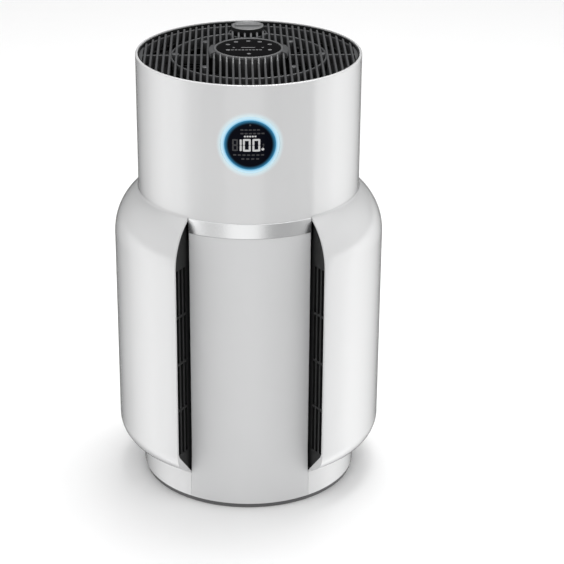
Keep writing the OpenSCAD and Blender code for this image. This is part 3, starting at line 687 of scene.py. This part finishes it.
def outlet_frame():
    """Rim, ring, cheeks, webs, ribs, screw bosses and the dial's collar, which hold the slats together"""
    parts = [
        lathe_parts(round_topped(GRILLE_R - 1.3, 2.6, GRILLE_Z0, SLAT_TOP - 3.3)),
        lathe_parts(round_topped(RIB_RING_R, 2.4, SLAT_Z0, SLAT_TOP - 2), step=2),
        lathe_parts(round_topped(WELL_R + 1.1, 2.2, GRILLE_Z0, SLAT_TOP - 2), step=3, centre=(0, DIAL_Y)),
    ]
    cheek = [
        (HUB_R + 0.1, HUB_Z - 5), (HUB_R + 0.1, HUB_Z - 1), (CHEEK_R - 2, HUB_Z - 1.6),
        (CHEEK_R - 0.8, HUB_Z - 2.0), (CHEEK_R, HUB_Z - 3), (CHEEK_R, HUB_Z - 8), (CHEEK_R - 3, HUB_Z - 8),
    ]
    for mid, side in ((RIGHT, 1), (LEFT, -1)):
        parts.append(lathe_parts(cheek, mid - CHEEK_ANGLE, mid + CHEEK_ANGLE))
        parts.append(side_web(side))
        parts.append(cross_rib(side))
    boss = [(0, GRILLE_Z0 + 0.2), (4.4, GRILLE_Z0 + 0.2)]
    boss += arc(3.4, SLAT_TOP - 1.6, 1.0, 0, 90, 4) + [(0, SLAT_TOP - 0.6)]
    for radius, angle in BOSSES:
        a = math.radians(angle)
        parts.append(lathe_parts(boss, step=12, centre=(radius * math.cos(a), radius * math.sin(a))))
    piece("outlet_frame", *joined(*parts), grille_grey, sharp=40)


def outlet_shades():
    """Dark wall inside the rim, and the dark cone under the hub"""
    wall = [(GRILLE_R - 0.9, GRILLE_Z0), (GRILLE_R, GRILLE_Z0)]
    wall += [(GRILLE_R, SLAT_TOP + 1.2), (GRILLE_R - 0.9, SLAT_TOP + 1.2)]
    lathe("outlet_skirt", wall, slot_black, bevel=0.25)
    top = HUB_Z - 3.5
    cone = [(HUB_R - 2, top), (HUB_R + 1, top), (HUB_R + 9, GRILLE_Z0), (HUB_R + 6, GRILLE_Z0)]
    lathe("outlet_cone", cone, slot_black)


def hub_ring():
    """Ring around the touch panel, and the cup under it"""
    seat = HUB_Z - 3
    r = DISC_R + 0.3
    ring = [(r, seat - 0.3), (HUB_R, seat - 0.3)] + arc(HUB_R - 1.2, HUB_Z - 1.2, 1.2, 0, 90, 6)
    ring += [(r + 0.5, HUB_Z), (r, HUB_Z - 0.5)]
    z0 = low("control_hub", 2)
    r0, r1 = DISC_R - 1.5, DISC_R + 0.6
    cup = [(r0, z0 + 2), (r0, seat), (r1, seat), (r1, z0), (0, z0), (0, z0 + 2)]
    parts = joined(lathe_parts(ring, step=1.5), lathe_parts(cup, step=3))
    o = piece("hub_ring", *parts, hub_grey, sharp=40)
    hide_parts("control_hub")


def touch_disc():
    z0 = low("control_panel", 2)
    glass = [(0, z0), (DISC_R, z0)] + arc(DISC_R - 0.6, DISC_Z - 0.6, 0.6, 0, 90, 5)
    glass += [(radius, DISC_Z) for radius in (30, 20, 10, 0)]
    disc = lathe("touch_disc", glass, disc_black, step=1.5)
    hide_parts("control_panel")


def touch_marks():
    """Plain dots, hoops and bars printed on the touch panel"""
    marks = []
    bottom, top = DISC_Z - 0.05, DISC_Z + 0.06

    def flat(loop, x, y):
        marks.append(loft_parts([[(x + a, y + b, z) for a, b in loop] for z in (bottom, top)], True, True))

    def spot(x, y, r):
        flat(arc(0, 0, r, 0, 360, 25)[:-1], x, y)

    for x, y in ((-23.6, 12.7), (-14.4, 23), (0, 26.2), (13.2, 23), (24.5, 12.7)):
        hoop = [(1.5, bottom), (2.5, bottom), (2.5, top), (1.5, top)]
        marks.append(lathe_parts(hoop, step=15, centre=(x, y)))
        spot(x, y, 1.0)
    for x, y, r in ((-17, 0.4, 1.3), (16.3, 0.4, 1.3), (-23.6, -9, 2.4), (24.2, -9, 2.3), (0, -24, 2.2)):
        spot(x, y, r)
    flat(rounded_rectangle(16, 2.0, 0.9, 5), -0.5, 0.4)
    for x in np.arange(-18.5, 17.5, 4.0):
        flat(rounded_rectangle(3.3, 2.4, 1.0, 5), x, -9)
    piece("touch_marks", *joined(*marks), mark_light, sharp=40)


def odour_dial():
    """Dial with a near-black side, which is painted shade for the dark recess under it, a dished top and a
    raised grip bar
    """
    z0, z1 = DIAL_Z0, DIAL_Z1
    r = DIAL_R
    face = z1 - 2
    centre = (0, DIAL_Y)
    side = [(0, z0), (r - 1, z0), (r, z0 + 1), (r, face - 1.4), (r - 1.0, face - 0.9), (0, face - 1.6)]
    # The side uses the near-black slot material instead of the dial's grey: painted shade
    dark = lathe("odour_skirt", side, slot_black, step=2, centre=centre, body="dial", sharp=40)
    dish = [(r - 1.0, face - 0.9)] + arc(r - 1.2, face - 1.2, 1.25, 20, 90, 5)
    dish += [(r - 2.6, face - 0.1), (r - 3.4, face - 0.7), (r - 8, face - 0.9), (0, face - 1.0)]
    dish += [(0, face - 1.6), (r - 1.2, face - 1.6)]
    bar = []
    for z, grow in ((face - 1.2, 0.6), (face + 0.6, 0.2), (z1 - 0.5, 0.0), (z1 - 0.1, -0.5), (z1, -1.2)):
        loop = rounded_rectangle(2 * (r - 3.6 + grow), 7 + 2 * grow, min(3.2, 3.2 + grow), 8)
        bar.append([(x, DIAL_Y + y, z) for x, y in loop])
    parts = joined(lathe_parts(dish, step=2, centre=centre), loft_parts(bar, True, True))
    o = piece("odour_knob", *parts, dial_grey, body="dial", sharp=40)
    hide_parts("odour_dial")


# ---------- display ----------


def on_display(x, z, proud):
    """Point at (x, z) from the display's middle, that far in front of the shell's curve"""
    return (x, -math.sqrt((CORE_R + proud) ** 2 - x * x), LENS_Z + z)


def display_rings(radii_and_proud, count=120):
    angles = np.linspace(0, 2 * math.pi, count, endpoint=False)
    return [
        [on_display(r * math.cos(a), r * math.sin(a), proud) for a in angles] for r, proud in radii_and_proud
    ]


def display_glass():
    """Lens and the light ring around it, wrapped on the shell's curve"""
    r = LENS_R
    steps = [(r, -1.5), (r, -0.3), (r - 0.25, 0.0), (r - 0.8, 0.12)]
    steps += [(inner, 0.15) for inner in np.linspace(r - 2, 1.5, 9)]
    lens = piece("lens", *loft_parts(display_rings(steps), cap_end=True), lens_black, sharp=60)
    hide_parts("display_lens")
    r0, r1 = LENS_R + 0.1, RING_R
    steps = [(r0, -1.5), (r0, -0.1), (r0 + 0.3, 0.12), ((r0 + r1) / 2, 0.3)]
    steps += [(r1 - 0.5, 0.2), (r1, -0.1), (r1, -1.5)]
    ring = piece("glow_ring", *loft_parts(display_rings(steps)), light_ring, sharp=70)
    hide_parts("display_ring")


def patch(loop, x, z):
    """Thin plate of that (x, z) outline on the lens"""
    loops = [[on_display(x + a, z + b, proud) for a, b in loop] for proud in (0.1, 0.2)]
    return loft_parts(loops, True, True)


def digit(x, z, w, h, t, segments):
    """Seven-segment figure w by h with strokes t wide; segments is a string of letters a to g"""
    half = h / 2
    side = (w - t) / 2
    places = {
        "a": (0, half - t / 2, w - t, t),
        "b": (side, half / 2, t, half - 0.3),
        "c": (side, -half / 2, t, half - 0.3),
        "d": (0, t / 2 - half, w - t, t),
        "e": (-side, -half / 2, t, half - 0.3),
        "f": (-side, half / 2, t, half - 0.3),
        "g": (0, 0, w - 1.6 * t, t),
    }
    strokes = [places[letter] for letter in segments]
    return [
        patch(rounded_rectangle(sw, sh, min(sw, sh) * 0.32, 4), x + dx, z + dz) for dx, dz, sw, sh in strokes
    ]


def display_marks():
    """Figures 100 after an unlit one, a percent sign, and plain blocks in place of icons"""
    bright = digit(-10.4, 0, 2.2, 13.8, 2.2, "bc")
    bright += digit(-3.7, 0, 8.6, 14.6, 2.2, "abcdef")
    bright += digit(6.8, 0, 8.6, 14.6, 2.2, "abcdef")
    bright.append(patch(arc(0, 0, 1.6, 0, 360, 19)[:-1], 13.92, -4.8))
    bright += [patch(rounded_rectangle(2.2, 1.7, 0.6, 4), -5.8 + 2.9 * i, 10.2) for i in range(5)]
    dim = digit(-16.6, 0, 6.4, 13.8, 1.8, "abcdefg")
    dim.append(patch(arc(0, 0, 1.0, 0, 360, 19)[:-1], 14.46, 0.6))
    slash = [(a * 0.5 - b * 0.86, a * 0.86 + b * 0.5) for a, b in rounded_rectangle(4.2, 0.9, 0.4, 4)]
    dim.append(patch(slash, 14.2, -2.2))
    block = rounded_rectangle(3.6, 1.7, 0.7, 4)
    rows = ((17.7, -9, 4.5, 5), (13.5, -9, 4.6, 6), (-11.4, -17, 5.1, 7), (-15.9, -8, 5.4, 4))
    for z, x0, pitch, count in rows:
        dim += [patch(block, x0 + pitch * i, z) for i in range(count)]
    dim.append(patch(arc(0, 0, 1.1, 0, 360, 17)[:-1], 0, 23.2))
    piece("display_figures", *joined(*bright), digit_light, sharp=40)
    piece("display_icons", *joined(*dim), digit_dim, sharp=40)


upper_shell()
side_covers()
columns()
accent_band()
base()
handle()
outlet_slats()
outlet_frame()
outlet_shades()
hub_ring()
touch_disc()
touch_marks()
odour_dial()
display_glass()
display_marks()


# ---------- stage, light and camera ----------


def floor():
    bpy.ops.mesh.primitive_plane_add(size=24)
    o = bpy.context.object
    o.name = "floor"
    m = material("floor_white", (0.9, 0.9, 0.9), 0.45, tint=0.004, grain=300, bump=0.01, specular=0.3)
    o.data.materials.append(m)
    o.visible_glossy = False
    o.visible_shadow = False


def compass(tree, azimuth, stops, peak):
    """Level that changes with the azimuth, 0 in front of the object and positive towards +X"""
    ramp = tree.nodes.new("ShaderNodeValToRGB")
    tree.links.new(azimuth, ramp.inputs["Fac"])
    elements = ramp.color_ramp.elements
    while len(elements) < len(stops):
        elements.new(0.5)
    for element, (angle, level) in zip(elements, stops):
        element.position = (angle + 180) / 360
        element.color = (level / peak, level / peak, level / peak, 1)
    return ramp.outputs["Color"]


def blend_by_height(tree, height, z0, z1, below, above):
    span = node_of(tree, "ShaderNodeMapRange", From_Min=z0, From_Max=z1)
    tree.links.new(height, span.inputs["Value"])
    mix = tree.nodes.new("ShaderNodeMix")
    mix.data_type = "RGBA"
    tree.links.new(span.outputs["Result"], mix.inputs[0])
    for k, source in ((6, below), (7, above)):
        if isinstance(source, float):
            mix.inputs[k].default_value = (source, source, source, 1)
        else:
            tree.links.new(source, mix.inputs[k])
    return mix.outputs[2]


def studio():
    """Soft surroundings: pale walls, brighter beside the object, under a bright ceiling"""
    peak = 2.5
    world = bpy.data.worlds.new("studio")
    bpy.context.scene.world = world
    world.use_nodes = True
    tree = world.node_tree
    back = tree.nodes["Background"]
    place = tree.nodes.new("ShaderNodeTexCoord")
    split = tree.nodes.new("ShaderNodeSeparateXYZ")
    tree.links.new(place.outputs["Generated"], split.inputs["Vector"])
    flip = tree.nodes.new("ShaderNodeMath")
    flip.operation = "MULTIPLY"
    flip.inputs[1].default_value = -1
    tree.links.new(split.outputs["Y"], flip.inputs[0])
    turn = tree.nodes.new("ShaderNodeMath")
    turn.operation = "ARCTAN2"
    tree.links.new(split.outputs["X"], turn.inputs[0])
    tree.links.new(flip.outputs["Value"], turn.inputs[1])
    span = node_of(tree, "ShaderNodeMapRange", From_Min=-math.pi, From_Max=math.pi)
    tree.links.new(turn.outputs["Value"], span.inputs["Value"])
    azimuth = span.outputs["Result"]
    low_stops = [
        (-180, 0.05), (-150, 0.1), (-128, 0.5), (-110, 1.4), (-95, 2.2), (-75, 2.3), (-60, 1.2), (-46, 0.7),
        (-27, 0.75), (-22, 1.15), (10, 1.15), (17, 0.55), (24, 0.45), (50, 0.5), (66, 0.6), (73, 2.0),
        (98, 2.4), (112, 1.8), (124, 1.2), (140, 0.6), (155, 0.2), (180, 0.05),
    ]
    high_stops = [
        (-180, 0.05), (-140, 0.08), (-118, 0.5), (-100, 0.8), (-70, 0.85), (-50, 0.72), (50, 0.72),
        (70, 0.85), (100, 0.85), (118, 0.6), (140, 0.08), (180, 0.05),
    ]
    walls = blend_by_height(
        tree, split.outputs["Z"], -0.12, 0.02, compass(tree, azimuth, low_stops, peak),
        compass(tree, azimuth, high_stops, peak),
    )
    sky = blend_by_height(tree, split.outputs["Z"], 0.62, 0.8, walls, 1.5 / peak)
    tree.links.new(sky, back.inputs["Color"])
    back.inputs["Strength"].default_value = peak


def softbox(name, azimuth, elevation, distance, size, power):
    light = bpy.data.lights.new(name, "AREA")
    light.shape = "RECTANGLE"
    light.size, light.size_y = size
    light.energy = power
    o = bpy.data.objects.new(name, light)
    bpy.context.scene.collection.objects.link(o)
    a, e = math.radians(azimuth), math.radians(elevation)
    way = Vector((math.sin(a) * math.cos(e), -math.cos(a) * math.cos(e), math.sin(e)))
    o.location = Vector((0, 0, 0.3)) + way * distance
    o.rotation_euler = way.to_track_quat("Z", "Y").to_euler()
    o.visible_camera = False
    return o


def camera():
    """Seen from a little above, as the fitted view: 2.04 m in front of the axis and 1.14 m up"""
    lens = bpy.data.cameras.new("camera")
    lens.sensor_width = 36
    lens.lens = 117.8
    lens.shift_x = 0.0592
    lens.clip_end = 60
    o = bpy.data.objects.new("camera", lens)
    bpy.context.scene.collection.objects.link(o)
    turn = math.radians(-0.75)
    o.location = (2.042 * math.sin(turn), -2.042 * math.cos(turn), 1.1406)
    o.rotation_euler = (math.radians(90 - 23.83), 0, turn)
    bpy.context.scene.camera = o


floor()
studio()
softbox("top", 158, 74, 2.0, (1.1, 0.9), 24)
camera()
bpy.context.scene.view_settings.view_transform = "Standard"
